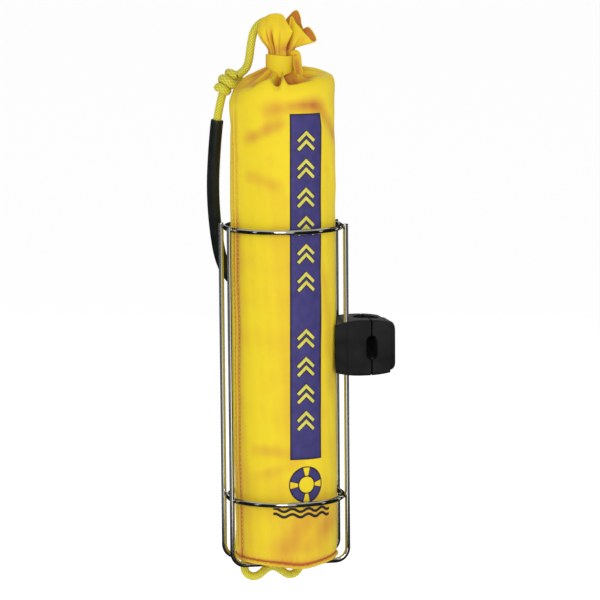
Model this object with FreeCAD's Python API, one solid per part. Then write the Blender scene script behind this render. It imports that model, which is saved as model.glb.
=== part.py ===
"""Throw rope bag in a wire holder that clamps to a 25 mm guard rail.

Millimetres.  The origin is the centre of the clamp's rail bore: +Z runs up the rail, the bag
hangs on the -X side and -Y is the front.  The bag lifts out along +Z, and the outer clamp jaw
comes off along +X.
"""
import FreeCAD, Part
import math
import os

Vec = FreeCAD.Vector

# ---------------------------------------------------------------- driving dimensions
RAIL_D = 25.0                 # guard rail that the clamp grips
WIRE_D = 5.0                  # holder wire
ROPE_D = 8.0                  # floating line
SLEEVE_D = 12.0               # grip sleeve over the hand loop

BAG_X = -80.0                 # axis of the bag and its rings
BAG_R_TOP = 49.5
BAG_R_BASE = 48.5
BASE_Z = -202.0               # underside of the bag
BODY_TOP_Z = 236.0            # where the straight side turns into the shoulder
FABRIC_T = 1.2
SIDE_GAP = 0.3                # gap between a soft piece and its neighbour

NECK_Z = 268.0                # start of the tied neck
NECK_R = 13.0
NECK_BORE_R = 5.2
MOUTH_Z = 290.0               # where the mouth starts to flare
RIM_Z = 321.0
RIM_R = 25.0

RING_R = 55.0                 # centreline of both wire rings
TOP_RING_Z = 116.0
LOWER_RING_Z = -143.0
UPRIGHT_X = 56.0              # wire uprights, from the bag axis
UPRIGHT_Y = 21.7
UPRIGHT_TOP_Z = 119.0
WIRE_BEND_R = 12.0

CLAMP_H = 54.0
CLAMP_HALF_Y = 26.0
WIRE_PLANE_X = BAG_X + UPRIGHT_X
SPLIT_GAP = 0.8               # half of the gap between saddle and jaw
JAW_X = 18.0                  # outer face of the jaw
CAP_X = 24.5                  # outer face of the jaw's cap
CAP_HALF_Y = 23.0
CAP_HALF_Z = 23.5
BOLT_R = 2.0
BOLT_Y = 16.0
BOLT_Z = 18.0
BOLT_HOLE_R = 2.4

FOAM_H = 40.0
COIL_TOP_Z = 205.0
COIL_BORE_R = 20.0

RIM_GAP_DIR = 160.0           # direction in which the line leaves the mouth, degrees
KNOT_AT = (-50.0, 12.0, 253.0)
KNOT_HALF = (12.5, 8.5)       # along and across the knot

# ---------------------------------------------------------------- cord routes, from the bag axis
LEAD_ROUTE = [(0.0, 0.0, 206.0), (1.5, -1.0, 232.0), (-1.0, 1.0, 262.0), (0.5, 0.5, 284.0),
              (1.0, 3.0, 302.5), (-5.5, 6.0, 311.0), (-16.0, 8.5, 311.0), (-24.5, 9.5, 302.5),
              (-27.5, 10.0, 288.0), (-29.0, 11.0, 273.5), (-32.5, 12.0, 264.0),
              (-40.5, 12.0, 259.5)]
LOOP_ROUTE = [(-54.0, 14.0, 243.5), (-58.5, 16.5, 226.0), (-61.5, 20.5, 191.5),
              (-62.5, 28.0, 152.0), (-59.0, 36.5, 114.0), (-52.0, 45.0, 78.0), (-37.5, 55.0, 57.0),
              (-15.0, 66.5, 48.0), (10.0, 74.5, 53.0), (28.5, 78.0, 71.5), (35.0, 76.5, 98.0),
              (34.0, 73.0, 133.0), (24.0, 68.0, 174.0), (4.0, 62.0, 211.0),
              (-18.0, 53.5, 240.0), (-37.0, 37.0, 258.5), (-47.5, 19.0, 262.0)]
SLEEVE_FROM = 1               # the sleeve covers the hand loop between these runs
SLEEVE_TO = 12
BASE_ROUTE = [(-39.3, 0.5, -196.5), (-39.8, 0.5, -204.0), (-41.1, 0.3, -213.8),
              (-38.1, 0.0, -218.8), (-33.2, -0.5, -221.2), (-27.8, -0.5, -220.7),
              (-22.0, 0.0, -216.2), (-16.5, 0.5, -212.4), (-10.5, 0.5, -212.6),
              (-5.0, 0.0, -216.2), (0.9, 0.0, -220.8), (5.9, -0.3, -221.1), (10.4, 0.0, -218.8),
              (13.0, 0.3, -214.5), (13.2, 0.3, -206.5), (12.6, 0.0, -200.5), (12.4, 0.0, -196.5)]


# ---------------------------------------------------------------- helpers
def save(shape, node):
    """Write one sub-part, once it is sound."""
    if not shape.isValid() or shape.Volume <= 0:
        raise ValueError(node + " is not a sound solid")
    shape.exportStep("parts/" + node + ".step")
    print("%-16s %3d solid(s) %10.1f mm3" % (node, len(shape.Solids), shape.Volume))


def at_bag(x, y, z):
    """Point given from the bag axis."""
    return Vec(BAG_X + x, y, z)


def revolve(outline, axis_x=BAG_X):
    """Solid of revolution about a vertical axis, from (radius, z) points."""
    points = [Vec(axis_x + radius, 0, z) for radius, z in outline]
    face = Part.Face(Part.makePolygon(points + points[:1]))
    return face.revolve(Vec(axis_x, 0, 0), Vec(0, 0, 1), 360)


def tube_ring(outer, inner, low, high, axis_x=BAG_X):
    """Plain ring between two radii and two heights."""
    return revolve([(inner, low), (outer, low), (outer, high), (inner, high)], axis_x)


def box(x0, x1, y0, y1, z0, z1):
    return Part.makeBox(x1 - x0, y1 - y0, z1 - z0, Vec(x0, y0, z0))


def rod_x(radius, x0, x1, y, z):
    """Cylinder along X."""
    return Part.makeCylinder(radius, x1 - x0, Vec(x0, y, z), Vec(1, 0, 0))


def round_route(points, name=None, bend=None):
    """Edges of a route: straight runs joined by tangent arcs, one arc at each inner point."""
    corners = [at_bag(*point) for point in points]
    edges = []
    radii = []
    start = corners[0]
    for before, corner, after in zip(corners, corners[1:], corners[2:]):
        back = before - corner
        ahead = after - corner
        half_turn = (math.pi - back.getAngle(ahead)) / 2
        setback = 0.45 * min(back.Length, ahead.Length)
        if bend is not None:
            setback = bend * math.tan(half_turn)
        back.normalize()
        ahead.normalize()
        enter = corner + back * setback
        leave = corner + ahead * setback
        radius = setback / math.tan(half_turn)
        inward = back + ahead
        inward.normalize()
        middle = corner + inward * (radius / math.cos(half_turn) - radius)
        edges.append(Part.LineSegment(start, enter).toShape())
        edges.append(Part.Arc(enter, middle, leave).toShape())
        radii.append(radius)
        start = leave
    edges.append(Part.LineSegment(start, corners[-1]).toShape())
    if name:
        length = sum(edge.Length for edge in edges)
        print("%s: length %.1f, radii %s" % (name, length, ["%.1f" % r for r in radii]))
    return edges


def sweep(edges, radius):
    """Round bar along the edges of a route."""
    path = Part.Wire(edges)
    start = edges[0].valueAt(edges[0].FirstParameter)
    along = edges[0].tangentAt(edges[0].FirstParameter)
    section = Part.Wire([Part.makeCircle(radius, start, along)])
    bar = path.makePipeShell([section], True, True)
    true_volume = math.pi * radius ** 2 * path.Length
    if abs(bar.Volume - true_volume) > 0.01 * true_volume:
        raise ValueError("a swept bar has lost its section")
    return bar


# ---------------------------------------------------------------- wire holder
def upright_wire(y):
    """U of wire: up both sides of the bag and under it."""
    low = BASE_Z - SIDE_GAP - WIRE_D / 2
    corners = [(-UPRIGHT_X, y, UPRIGHT_TOP_Z), (-UPRIGHT_X, y, low),
               (UPRIGHT_X, y, low), (UPRIGHT_X, y, UPRIGHT_TOP_Z)]
    return sweep(round_route(corners, bend=WIRE_BEND_R), WIRE_D / 2)


def wire_ring(z):
    return Part.makeTorus(RING_R, WIRE_D / 2, Vec(BAG_X, 0, z))


# ---------------------------------------------------------------- rail clamp
def clamp_block(x0, x1, corner):
    """Block of the clamp with its upright outer edges rounded."""
    block = box(x0, x1, -CLAMP_HALF_Y, CLAMP_HALF_Y, -CLAMP_H / 2, CLAMP_H / 2)
    long_x = [edge for edge in block.Edges if abs(edge.tangentAt(0).x) > 0.9]
    return block.makeFillet(corner, long_x)


BULGE_R = 108.0               # the clamp's ends are slightly domed
BULGE_X = -6.0


def domed(block):
    """Round the clamp's top and bottom faces off towards both sides."""
    for sign in (-1, 1):
        centre = Vec(BULGE_X, -60.0, sign * (CLAMP_H / 2 - BULGE_R))
        block = block.common(Part.makeCylinder(BULGE_R, 120.0, centre, Vec(0, 1, 0)))
    return block


def bolt_spots():
    for y in (-BOLT_Y, BOLT_Y):
        for z in (-BOLT_Z, BOLT_Z):
            yield y, z


def cut_bolt_holes(block, x0, x1):
    for y, z in bolt_spots():
        block = block.cut(rod_x(BOLT_HOLE_R, x0, x1, y, z))
    return block


def cut_uprights(block):
    """Half grooves that hold the two uprights next to the clamp."""
    for y in (-UPRIGHT_Y, UPRIGHT_Y):
        groove = Part.makeCylinder(WIRE_D / 2 + 0.02, 2 * CLAMP_H, Vec(WIRE_PLANE_X, y, -CLAMP_H))
        block = block.cut(groove)
    return block


def rail_bore():
    return Part.makeCylinder(RAIL_D / 2, 2 * CLAMP_H, Vec(0, 0, -CLAMP_H))


def side_window():
    """Upright oval through both side walls, open to the rail."""
    half_width = 5.5
    half_straight = 6.5
    slot = box(-half_width, half_width, -2 * CLAMP_HALF_Y, 2 * CLAMP_HALF_Y,
               -half_straight, half_straight)
    for z in (-half_straight, half_straight):
        start = Vec(0, -2 * CLAMP_HALF_Y, z)
        slot = slot.fuse(Part.makeCylinder(half_width, 4 * CLAMP_HALF_Y, start, Vec(0, 1, 0)))
    return slot


NUT_R = 4.0                   # across the corners, halved
NUT_H = 3.2
NUT_X = -31.4                 # bag-side face of the nuts
WASHER_R = 4.4
WASHER_T = 0.8
HEAD_R = 3.5
HEAD_H = 4.0
SEAT_X = 12.0                 # floor of the bolt-head recesses in the jaw


def hexagon_nut(y, z, grow=0.0, bore=0.0):
    corners = []
    for turn in range(6):
        angle = math.radians(60 * turn)
        reach = NUT_R + grow
        corners.append(Vec(NUT_X, y + reach * math.cos(angle), z + reach * math.sin(angle)))
    nut = Part.Face(Part.makePolygon(corners + corners[:1])).extrude(Vec(NUT_H, 0, 0))
    if bore:
        nut = nut.cut(rod_x(bore, NUT_X - 1, NUT_X + NUT_H + 1, y, z))
    return nut


def wire_keeper():
    """Back plate that traps the uprights against the saddle, hollowed to clear the bag."""
    plate = clamp_block(-35.0, WIRE_PLANE_X - 0.1, 4.0)
    clear = Part.makeCylinder(BAG_R_TOP + 1.6, 2 * CLAMP_H, Vec(BAG_X, 0, -CLAMP_H))
    plate = cut_uprights(plate.cut(clear))
    plate = cut_bolt_holes(plate, -40.0, 0.0)
    for y, z in bolt_spots():
        pocket = hexagon_nut(y, z, 0.15)
        pocket.translate(Vec(-NUT_H, 0, 0))
        plate = plate.cut(hexagon_nut(y, z, 0.15)).cut(pocket)
    return domed(plate)


def clamp_saddle():
    """Middle of the clamp, between the uprights and the rail."""
    block = clamp_block(WIRE_PLANE_X + 0.1, -SPLIT_GAP, 4.0)
    block = cut_bolt_holes(cut_uprights(block), -40.0, 10.0)
    return domed(block.cut(rail_bore()).cut(side_window()))


def clamp_jaw():
    """Outer jaw: the other half of the rail bore, with recesses for the bolt heads."""
    block = clamp_block(SPLIT_GAP, JAW_X, 4.0)
    block = cut_bolt_holes(block, 0.0, JAW_X + 5)
    for y, z in bolt_spots():
        block = block.cut(rod_x(WASHER_R + 0.3, SEAT_X, JAW_X + 5, y, z))
    return domed(block.cut(rail_bore()).cut(side_window()))


def jaw_cap():
    """Rounded cover over the bolt heads."""
    cap = box(JAW_X, CAP_X, -CAP_HALF_Y, CAP_HALF_Y, -CAP_HALF_Z, CAP_HALF_Z)
    long_x = [edge for edge in cap.Edges if abs(edge.tangentAt(0).x) > 0.9]
    cap = cap.makeFillet(9.0, long_x)
    outer = [edge for edge in cap.Edges if edge.BoundBox.XMin > CAP_X - 0.01]
    return cap.makeFillet(4.5, outer)


def clamp_bolts():
    solids = []
    for y, z in bolt_spots():
        shank = rod_x(BOLT_R, NUT_X, SEAT_X + WASHER_T + 0.5, y, z)
        head_x = SEAT_X + WASHER_T
        head = rod_x(HEAD_R, head_x, head_x + HEAD_H, y, z)
        socket = rod_x(1.6, head_x + 1.8, head_x + HEAD_H + 1, y, z)
        solids.append(shank.fuse(head).cut(socket))
    return Part.makeCompound(solids)


def clamp_washers():
    solids = []
    for y, z in bolt_spots():
        disc = rod_x(WASHER_R, SEAT_X, SEAT_X + WASHER_T, y, z)
        solids.append(disc.cut(rod_x(BOLT_R + 0.1, 0, JAW_X, y, z)))
    return Part.makeCompound(solids)


def clamp_nuts():
    return Part.makeCompound([hexagon_nut(y, z, 0.0, BOLT_R + 0.3) for y, z in bolt_spots()])


# ---------------------------------------------------------------- bag
BASE_T = 2.4
HEM_H = 9.0                   # seam allowance round the base
HEM_T = 1.0


def bag_outline(inset):
    """Outer line of the bag's side and shoulder, moved in by the given amount."""
    return [(BAG_R_BASE - inset, BASE_Z + BASE_T + SIDE_GAP),
            (BAG_R_TOP - inset, BODY_TOP_Z),
            (BAG_R_TOP - 6.0 - inset, BODY_TOP_Z + 11.0 - 0.3 * inset),
            (BAG_R_TOP - 11.5 - inset, BODY_TOP_Z + 18.0 - 0.7 * inset),
            (BAG_R_TOP - 18.0 - inset, BODY_TOP_Z + 22.5 - inset),
            (NECK_R + 2.0, NECK_Z - 3.5 - inset)]


def bag_shell():
    """Fabric tube with its gathered shoulder."""
    outside = bag_outline(0.0)
    inside = bag_outline(FABRIC_T)
    return revolve(outside + inside[::-1])


def bag_base():
    """Round bottom panel with two rope eyelets."""
    panel = tube_ring(BAG_R_BASE, 0.0, BASE_Z, BASE_Z + BASE_T)
    for x, y in eyelet_spots():
        hole = Part.makeCylinder(EYELET_HOLE_R, 20, at_bag(x, y, BASE_Z - 10))
        panel = panel.cut(hole)
    return panel


EYELET_BORE_R = 4.6
EYELET_HOLE_R = 5.3
EYELET_FLANGE_R = 6.9
EYELET_T = 0.8


def eyelet_spots():
    """Where the base loop passes through the bottom panel."""
    return [(-39.6, 0.5), (12.7, 0.1)]


def base_eyelets():
    """Rolled metal eyelets: a barrel with a flange on each side of the panel."""
    solids = []
    for x, y in eyelet_spots():
        low = BASE_Z - EYELET_T
        high = BASE_Z + BASE_T + EYELET_T
        barrel = Part.makeCylinder(EYELET_HOLE_R, high - low, at_bag(x, y, low))
        for z in (low, high - EYELET_T):
            barrel = barrel.fuse(Part.makeCylinder(EYELET_FLANGE_R, EYELET_T, at_bag(x, y, z)))
        bore = Part.makeCylinder(EYELET_BORE_R, 20, at_bag(x, y, BASE_Z - 10))
        solids.append(barrel.cut(bore))
    return Part.makeCompound(solids)


def base_hem():
    """Binding sewn round the bottom seam."""
    low = BASE_Z + 0.6
    return tube_ring(BAG_R_BASE + HEM_T + SIDE_GAP, BAG_R_BASE + SIDE_GAP, low, low + HEM_H)


def bag_collar():
    """Gathered neck that opens into the mouth; a gap in the rim lets the line out."""
    outline = [(NECK_BORE_R, NECK_Z - 2.0), (NECK_R, NECK_Z - 2.0), (NECK_R, MOUTH_Z - 4.0),
               (NECK_R + 4.0, MOUTH_Z + 4.0), (RIM_R, RIM_Z - 6.0), (RIM_R - 1.0, RIM_Z),
               (RIM_R - 4.0, RIM_Z - 1.0), (NECK_R + 1.0, MOUTH_Z + 6.0),
               (NECK_BORE_R, MOUTH_Z - 6.0)]
    collar = revolve(outline)
    gap = box(0.0, 2 * RIM_R, -7.0, 7.0, MOUTH_Z + 4.0, RIM_Z + 10.0)
    gap.rotate(Vec(0, 0, 0), Vec(0, 0, 1), RIM_GAP_DIR)
    gap.translate(Vec(BAG_X, 0, 0))
    return collar.cut(gap)


BAND_H = 12.5                 # width of the neck strap
STRAP_T = 1.6
TAIL_W = 10.0
TAIL_L = 14.0
TAIL_LEAN = 18.0              # the tail hangs clear of the shoulder
TAIL_DIR = 35.0               # towards the clamp side of the front


def neck_strap():
    """Webbing band that ties the neck, with its hanging tail."""
    low = NECK_Z - 1.0
    inner = NECK_R + SIDE_GAP
    band = tube_ring(inner + STRAP_T, inner, low, low + BAND_H)
    tail = box(-TAIL_W / 2, TAIL_W / 2, -inner - STRAP_T, -inner, -TAIL_L, 0.0)
    tail.rotate(Vec(0, -inner, 0), Vec(1, 0, 0), -TAIL_LEAN)
    tail.rotate(Vec(0, 0, 0), Vec(0, 0, 1), TAIL_DIR)
    tail.translate(at_bag(0.0, 0.0, low + BAND_H - 0.5))
    return band.fuse(tail)


STRIPE_X0 = -3.0              # left and right edge of the stripe, from the bag axis
STRIPE_X1 = 28.0
STRIPE_LOW_Z = -100.0
STRIPE_HIGH_Z = 225.5
STRIPE_T = 0.5


def front_stripe():
    """Coloured strip sewn up the front."""
    skin = revolve([(BAG_R_BASE + SIDE_GAP, BASE_Z), (BAG_R_BASE + SIDE_GAP + STRIPE_T, BASE_Z),
                    (BAG_R_TOP + SIDE_GAP + STRIPE_T, BODY_TOP_Z), (BAG_R_TOP + SIDE_GAP, BODY_TOP_Z)])
    window = box(BAG_X + STRIPE_X0, BAG_X + STRIPE_X1, -100.0, 0.0, STRIPE_LOW_Z, STRIPE_HIGH_Z)
    return skin.common(window)


def inner_stack():
    """Heights of the pieces packed inside: foam bottom, foam top."""
    foam_low = BASE_Z + 34.0
    return foam_low, foam_low + FOAM_H


def foam_disc():
    low, high = inner_stack()
    return Part.makeCylinder(BAG_R_BASE - 3.0, high - low, Vec(BAG_X, 0, low))


def stowed_line():
    """Outer shape of the coiled line: a thick-walled drum."""
    low = inner_stack()[1] + 1.0
    return tube_ring(BAG_R_TOP - 4.0, COIL_BORE_R, low, COIL_TOP_Z)


# ---------------------------------------------------------------- cords
def egg(centre, long_axis, half_long, half_wide):
    """Ellipsoid stretched along a given direction."""
    ball = Part.makeSphere(1.0)
    stretch = FreeCAD.Matrix()
    stretch.scale(half_wide, half_wide, half_long)
    ball = ball.transformGeometry(stretch)
    ball.Placement = FreeCAD.Placement(centre, FreeCAD.Rotation(Vec(0, 0, 1), long_axis))
    return ball


def loop_knot(lead, loop):
    """Stopper knot that ties the hand loop to the line."""
    knot = egg(at_bag(*KNOT_AT), Vec(-1.0, 0.1, -0.85), *KNOT_HALF)
    return knot.cut(lead).cut(loop)


def base_knots(rope):
    """Stopper knots inside the bag on both ends of the base loop."""
    solids = []
    for end in (BASE_ROUTE[0], BASE_ROUTE[-1]):
        x, y = end[0], end[1]
        inward = -1.0 if x > 0 else 1.0
        centre = at_bag(x + 2.0 * inward, y, BASE_Z + BASE_T + 15.5)
        solids.append(egg(centre, Vec(0, 0, 1), 13.0, 9.5).cut(rope))
    return Part.makeCompound(solids)


def main():
    os.makedirs("parts", exist_ok=True)
    save(upright_wire(-UPRIGHT_Y), "front_wire")
    save(upright_wire(UPRIGHT_Y), "rear_wire")
    save(wire_ring(TOP_RING_Z), "top_ring")
    save(wire_ring(LOWER_RING_Z), "lower_ring")

    save(wire_keeper(), "wire_keeper")
    save(clamp_saddle(), "clamp_saddle")
    save(clamp_jaw(), "clamp_jaw")
    save(jaw_cap(), "jaw_cap")
    save(clamp_bolts(), "clamp_bolts")
    save(clamp_washers(), "clamp_washers")
    save(clamp_nuts(), "clamp_nuts")

    save(bag_shell(), "bag_shell")
    save(bag_base(), "bag_base")
    save(base_hem(), "base_hem")
    save(base_eyelets(), "base_eyelets")
    save(bag_collar(), "bag_collar")
    save(neck_strap(), "neck_strap")
    save(front_stripe(), "front_stripe")
    save(foam_disc(), "foam_disc")
    save(stowed_line(), "stowed_line")

    lead = sweep(round_route(LEAD_ROUTE, "line_lead"), ROPE_D / 2)
    loop_edges = round_route(LOOP_ROUTE, "hand_loop")
    loop = sweep(loop_edges, ROPE_D / 2)
    base_rope = sweep(round_route(BASE_ROUTE, "base_rope"), ROPE_D / 2)
    save(lead, "line_lead")
    save(loop, "hand_loop")
    save(base_rope, "base_rope")
    save(loop_knot(lead, loop), "loop_knot")
    save(base_knots(base_rope), "base_knots")

    covered = loop_edges[2 * SLEEVE_FROM:2 * SLEEVE_TO + 1]
    sleeve = sweep(covered, SLEEVE_D / 2).cut(sweep(covered, ROPE_D / 2 + 0.4))
    save(sleeve, "grip_sleeve")


main()
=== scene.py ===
"""Looks of the throw rope bag in its rail holder, in metres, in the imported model's frame."""
import bmesh
import bpy
import math
import numpy as np
from mathutils import Matrix, Vector


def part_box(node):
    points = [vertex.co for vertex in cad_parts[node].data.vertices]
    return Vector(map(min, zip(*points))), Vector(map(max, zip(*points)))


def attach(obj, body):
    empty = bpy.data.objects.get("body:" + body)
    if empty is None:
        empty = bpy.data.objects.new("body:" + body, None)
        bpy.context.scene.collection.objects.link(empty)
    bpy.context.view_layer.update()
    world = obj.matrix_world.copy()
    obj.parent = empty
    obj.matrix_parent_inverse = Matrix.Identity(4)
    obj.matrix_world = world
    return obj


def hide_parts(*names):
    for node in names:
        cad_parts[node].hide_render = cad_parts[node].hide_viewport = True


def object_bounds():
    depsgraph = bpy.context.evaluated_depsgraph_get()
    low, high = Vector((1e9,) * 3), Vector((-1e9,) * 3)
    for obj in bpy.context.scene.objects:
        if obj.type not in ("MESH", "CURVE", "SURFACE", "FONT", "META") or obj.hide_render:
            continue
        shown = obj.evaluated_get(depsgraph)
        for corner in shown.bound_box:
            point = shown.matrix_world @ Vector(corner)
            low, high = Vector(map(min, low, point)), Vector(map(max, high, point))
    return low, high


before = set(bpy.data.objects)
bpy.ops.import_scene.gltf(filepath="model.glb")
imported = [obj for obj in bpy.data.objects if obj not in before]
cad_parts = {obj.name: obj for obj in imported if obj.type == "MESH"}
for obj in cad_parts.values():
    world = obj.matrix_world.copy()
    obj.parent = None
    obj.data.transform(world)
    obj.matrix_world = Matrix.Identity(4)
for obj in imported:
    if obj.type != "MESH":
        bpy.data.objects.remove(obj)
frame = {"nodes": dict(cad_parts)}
nodes = frame["nodes"]
cad_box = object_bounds()
MM = 0.001

# ---------------------------------------------------------------- sizes read from the frame
shell_low, shell_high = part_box("bag_shell")
stripe_low, stripe_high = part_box("front_stripe")
AXIS_X = (shell_low.x + shell_high.x) / 2
BAG_R = (shell_high.x - shell_low.x) / 2
ROPE_R = 4 * MM
SLEEVE_R, SLEEVE_TOP = 6 * MM, 218.3 * MM


def at_bag(x, y, z):
    """Point given in millimetres from the bag's axis."""
    return Vector((AXIS_X + x * MM, y * MM, z * MM))


def ease(value, low, high):
    """Smooth step from 0 at low to 1 at high."""
    t = min(1.0, max(0.0, (value - low) / (high - low)))
    return t * t * (3 - 2 * t)


def in_metres(points):
    """Array of points in millimetres from the bag's axis, as metres in the model's frame."""
    return points * MM + np.array([AXIS_X, 0, 0])


def round_at(angle, side, up):
    """Unit direction at an angle in the plane of two directions."""
    return side * math.cos(angle) + up * math.sin(angle)


def new_object(name, data):
    """Object with this data, linked to the scene."""
    made = bpy.data.objects.new(name, data)
    bpy.context.scene.collection.objects.link(made)
    return made


# ---------------------------------------------------------------- camera, light and stage
CAMERA_PLACE = (-0.7139, -3.1281, 0.4625)
CAMERA_TURN, CAMERA_DIP, CAMERA_ROLL = -11.735, 7.446, -0.491     # degrees
CAMERA_LENS = 202.7           # mm, on a sensor 36 mm wide
LAMPS = [("key", (-1.1, -3.0, 1.1), (1.2, 1.2), 30), ("fill", (1.6, -2.4, 0.5), (1.2, 1.8), 7),
         ("back", (0.9, 2.6, 1.6), (1.6, 1.6), 14)]               # name, place, size, power
FLOOR_DROP = 0.28             # of the floor under the model
FLOOR_REACH = 40
FLAG_R, FLAG_TOP, FLAG_REACH = 1.5, 1.2, 1.6
# Spans of the dark flags round the object, in degrees, with gaps that give the wire its highlights.
FLAG_SPANS = [(9, 62), (69, 110), (117, 172), (178, 240), (247, 290), (297, 332)]


def make_camera():
    data = bpy.data.cameras.new("camera")
    data.lens = CAMERA_LENS
    data.sensor_width = 36
    camera = new_object("camera", data)
    turn = Matrix.Rotation(math.radians(CAMERA_TURN), 4, "Z")
    pitch = Matrix.Rotation(math.radians(90 - CAMERA_DIP), 4, "X")
    roll = Matrix.Rotation(math.radians(CAMERA_ROLL), 4, "Z")
    camera.matrix_world = Matrix.Translation(CAMERA_PLACE) @ turn @ pitch @ roll
    bpy.context.scene.camera = camera


def area_light(name, place, size, power):
    data = bpy.data.lights.new(name, "AREA")
    data.shape = "RECTANGLE"
    data.size, data.size_y = size
    data.energy = power
    lamp = new_object(name, data)
    lamp.location = place
    target = Vector((AXIS_X, 0, 0.05))
    lamp.rotation_euler = (target - Vector(place)).to_track_quat("-Z", "Y").to_euler()


def square(reach, height):
    """Corners of a level square round the origin."""
    return [(x * reach, y * reach, height) for x, y in ((-1, -1), (1, -1), (1, 1), (-1, 1))]


def stage_plane(name, corners, material):
    mesh = bpy.data.meshes.new(name)
    mesh.from_pydata(corners, [], [tuple(range(len(corners)))])
    mesh.materials.append(material)
    plane = new_object(name, mesh)
    return plane


def make_stage():
    """Pale floor, soft lights, and dark flags that only the polished wire sees."""
    floor_z = cad_box[0][2] - FLOOR_DROP
    flag_z = floor_z + 0.01
    pale = plain_material("stage_pale", (0.9, 0.9, 0.9), Emission_Color=(1, 1, 1, 1), Emission_Strength=0.42)
    dark = plain_material("stage_flag", (0.004, 0.004, 0.004))
    stage_plane("floor", square(FLOOR_REACH, floor_z), pale)
    flags = [("low", square(FLAG_REACH, flag_z))]
    for index, span in enumerate(FLAG_SPANS):
        left, right = ((AXIS_X + FLAG_R * math.sin(t), -FLAG_R * math.cos(t)) for t in np.radians(span))
        flags.append((f"{index}", [(*left, flag_z), (*right, flag_z), (*right, FLAG_TOP), (*left, FLAG_TOP)]))
    for name, corners in flags:
        flag = stage_plane("flag_" + name, corners, dark)
        flag.visible_camera = False
        flag.visible_shadow = False
        flag.visible_diffuse = False
        flag.visible_transmission = False
    world = bpy.data.worlds.new("studio")
    world.use_nodes = True
    configure(world.node_tree.nodes["Background"], Color=(1, 1, 1, 1), Strength=0.62)
    bpy.context.scene.world = world
    for lamp in LAMPS:
        area_light(*lamp)
    bpy.context.scene.view_settings.view_transform = "Standard"


# ---------------------------------------------------------------- materials
THREADS = 900                 # of the cloth's weave, in a metre


def new_material(name):
    material = bpy.data.materials.new(name)
    material.use_nodes = True
    tree = material.node_tree
    return material, tree, tree.nodes["Principled BSDF"]


def configure(node, **settings):
    """Set a node's own settings, and set or link the sockets that the other keys name."""
    for key, value in settings.items():
        if hasattr(node, key):
            setattr(node, key, value)
            continue
        socket = node.inputs[key.replace("_", " ")]
        if isinstance(value, bpy.types.NodeSocket):
            node.id_data.links.new(value, socket)
        else:
            socket.default_value = value
    return node


def add(tree, kind, **settings):
    return configure(tree.nodes.new(kind), **settings)


def plain_material(name, colour, **settings):
    """Even, matt material of the stage."""
    material, _, shader = new_material(name)
    configure(shader, Base_Color=(*colour, 1), Roughness=0.9, **settings)
    return material


def noise_node(tree, scale, detail=3.0, stretch=(1, 1, 1)):
    place = add(tree, "ShaderNodeTexCoord").outputs["Object"]
    place = add(tree, "ShaderNodeMapping", Vector=place, Scale=stretch).outputs["Vector"]
    return add(tree, "ShaderNodeTexNoise", Vector=place, Scale=scale, Detail=detail).outputs["Fac"]


def ramp(tree, value, low, high, first, second, middle=None):
    """Colour ramp between two colours, or through a third half way."""
    node = add(tree, "ShaderNodeValToRGB", Fac=value)
    stops = [(low, first), (high, second)]
    if middle:
        node.color_ramp.elements.new(0.5)
        stops.insert(1, ((low + high) / 2, middle))
    for element, (position, colour) in zip(node.color_ramp.elements, stops):
        element.position = position
        element.color = (*colour, 1)
    return node.outputs["Color"]


def bump(tree, height, strength, distance):
    return add(tree, "ShaderNodeBump", Height=height, Strength=strength, Distance=distance).outputs["Normal"]


def math_node(tree, operation, *values):
    node = add(tree, "ShaderNodeMath", operation=operation)
    for socket, value in zip(node.inputs, values):
        if isinstance(value, (int, float)):
            socket.default_value = value
        else:
            tree.links.new(value, socket)
    return node.outputs["Value"]


def scuffed(tree, pattern, spread, low):
    """Roughness that follows a pattern of 0 to 1, starting at low."""
    return math_node(tree, "MULTIPLY_ADD", pattern, spread, low)


def weave_height(tree):
    """Plain weave: two crossed sets of threads, from the surface's own coordinates."""
    place = add(tree, "ShaderNodeUVMap", uv_map="weave").outputs["UV"]
    split = add(tree, "ShaderNodeSeparateXYZ", Vector=place)
    turns = [math_node(tree, "MULTIPLY", split.outputs[axis], 2 * math.pi * THREADS) for axis in "XY"]
    return math_node(tree, "MULTIPLY", *(math_node(tree, "SINE", turn) for turn in turns))


def painted_shade_depth(tree, pattern):
    """Painted shade stored on the mesh at each point, with a pattern added."""
    painted_shade = add(tree, "ShaderNodeAttribute", attribute_name="painted_shade")
    return math_node(tree, "ADD", painted_shade.outputs["Fac"], pattern)


def fabric_material(name, light, half_shade, deep_shade):
    """Woven cloth with painted shade: deeper in colour in its creases and hollows."""
    material, tree, shader = new_material(name)
    mottled = math_node(tree, "MULTIPLY_ADD", noise_node(tree, 38.0, 4.0), 0.30, -0.15)
    crumple = math_node(tree, "MULTIPLY", noise_node(tree, 260.0), 0.5)
    height = math_node(tree, "ADD", weave_height(tree), crumple)
    configure(shader, Base_Color=ramp(tree, painted_shade_depth(tree, mottled), 0.0, 1.0, light, deep_shade, half_shade),
              Roughness=scuffed(tree, noise_node(tree, 160.0, 2.0), 0.16, 0.54), Sheen_Weight=0.06,
              Sheen_Roughness=0.4, Specular_IOR_Level=0.25, Normal=bump(tree, height, 0.35, 0.00012))
    return material


def print_material(name, colour):
    """Ink on woven cloth: the weave shows through it."""
    material, tree, shader = new_material(name)
    darker, lighter = tuple(c * 0.86 for c in colour), tuple(c * 1.12 + 0.006 for c in colour)
    configure(shader, Base_Color=ramp(tree, noise_node(tree, 120.0, 5.0), 0.3, 0.75, darker, lighter),
              Roughness=0.55, Specular_IOR_Level=0.35, Normal=bump(tree, weave_height(tree), 0.25, 0.0001))
    return material


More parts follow.
